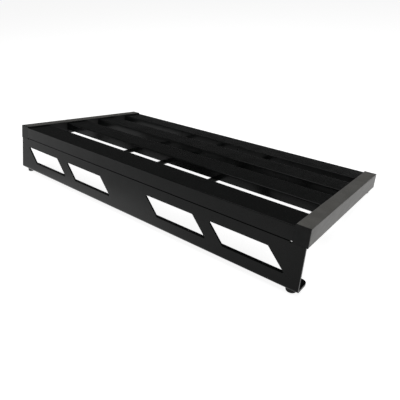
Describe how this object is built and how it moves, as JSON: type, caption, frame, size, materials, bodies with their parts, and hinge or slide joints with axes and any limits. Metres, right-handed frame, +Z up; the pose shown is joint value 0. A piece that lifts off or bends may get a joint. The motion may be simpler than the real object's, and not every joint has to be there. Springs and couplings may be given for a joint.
{
  "type": "pedalboard",
  "caption": "Tilted aluminium pedalboard: channel rails between box side rails, open slots between them, and a tall rear panel with slanted windows, on rubber feet.",
  "frame": {"origin": "on the ground, under the middle of the board's bounding box", "axes": "+X along the board's width, +Y from the player's low front edge to the tall rear panel, +Z up from the ground"},
  "size_m": [0.6, 0.3256, 0.0936],
  "materials": {
    "frame_coat": "satin black powder coat on folded sheet aluminium",
    "inner_coat": "satin black powder coat on flat bar and angle, out of sight under the deck",
    "side_rail_coat": "charcoal satin anodised tube with fine lengthwise grain",
    "cap_plastic": "fine-textured black moulded plastic",
    "foot_rubber": "matte black moulded rubber",
    "rivet_metal": "black painted blind rivets",
    "screw_steel": "black oxide and zinc-plated steel fasteners"
  },
  "bodies": {
    "root": {"brace_left": "inner_coat", "brace_middle": "inner_coat", "brace_right": "inner_coat", "brace_rivets": "rivet_metal", "bracket_front_left": "inner_coat", "bracket_front_right": "inner_coat", "bracket_lower_left": "inner_coat", "bracket_lower_right": "inner_coat", "bracket_rear_left": "inner_coat", "bracket_rear_right": "inner_coat", "bracket_rivets": "rivet_metal", "bracket_upper_left": "inner_coat", "bracket_upper_right": "inner_coat", "foot_nuts": "screw_steel", "foot_rivet_nuts": "screw_steel", "foot_screws": "screw_steel", "foot_washers": "screw_steel", "front_cap_left": "cap_plastic", "front_cap_right": "cap_plastic", "front_foot_left": "foot_rubber", "front_foot_right": "foot_rubber", "front_rail": "frame_coat", "leg_panel": "frame_coat", "lower_rail": "frame_coat", "panel_nuts": "screw_steel", "panel_studs": "screw_steel", "panel_washers": "screw_steel", "rear_cap_left": "cap_plastic", "rear_cap_right": "cap_plastic", "rear_foot_left": "foot_rubber", "rear_foot_right": "foot_rubber", "rear_rail": "frame_coat", "side_rail_left": "side_rail_coat", "side_rail_right": "side_rail_coat", "side_rail_rivets": "rivet_metal", "upper_rail": "frame_coat"}
  },
  "joints": []
}
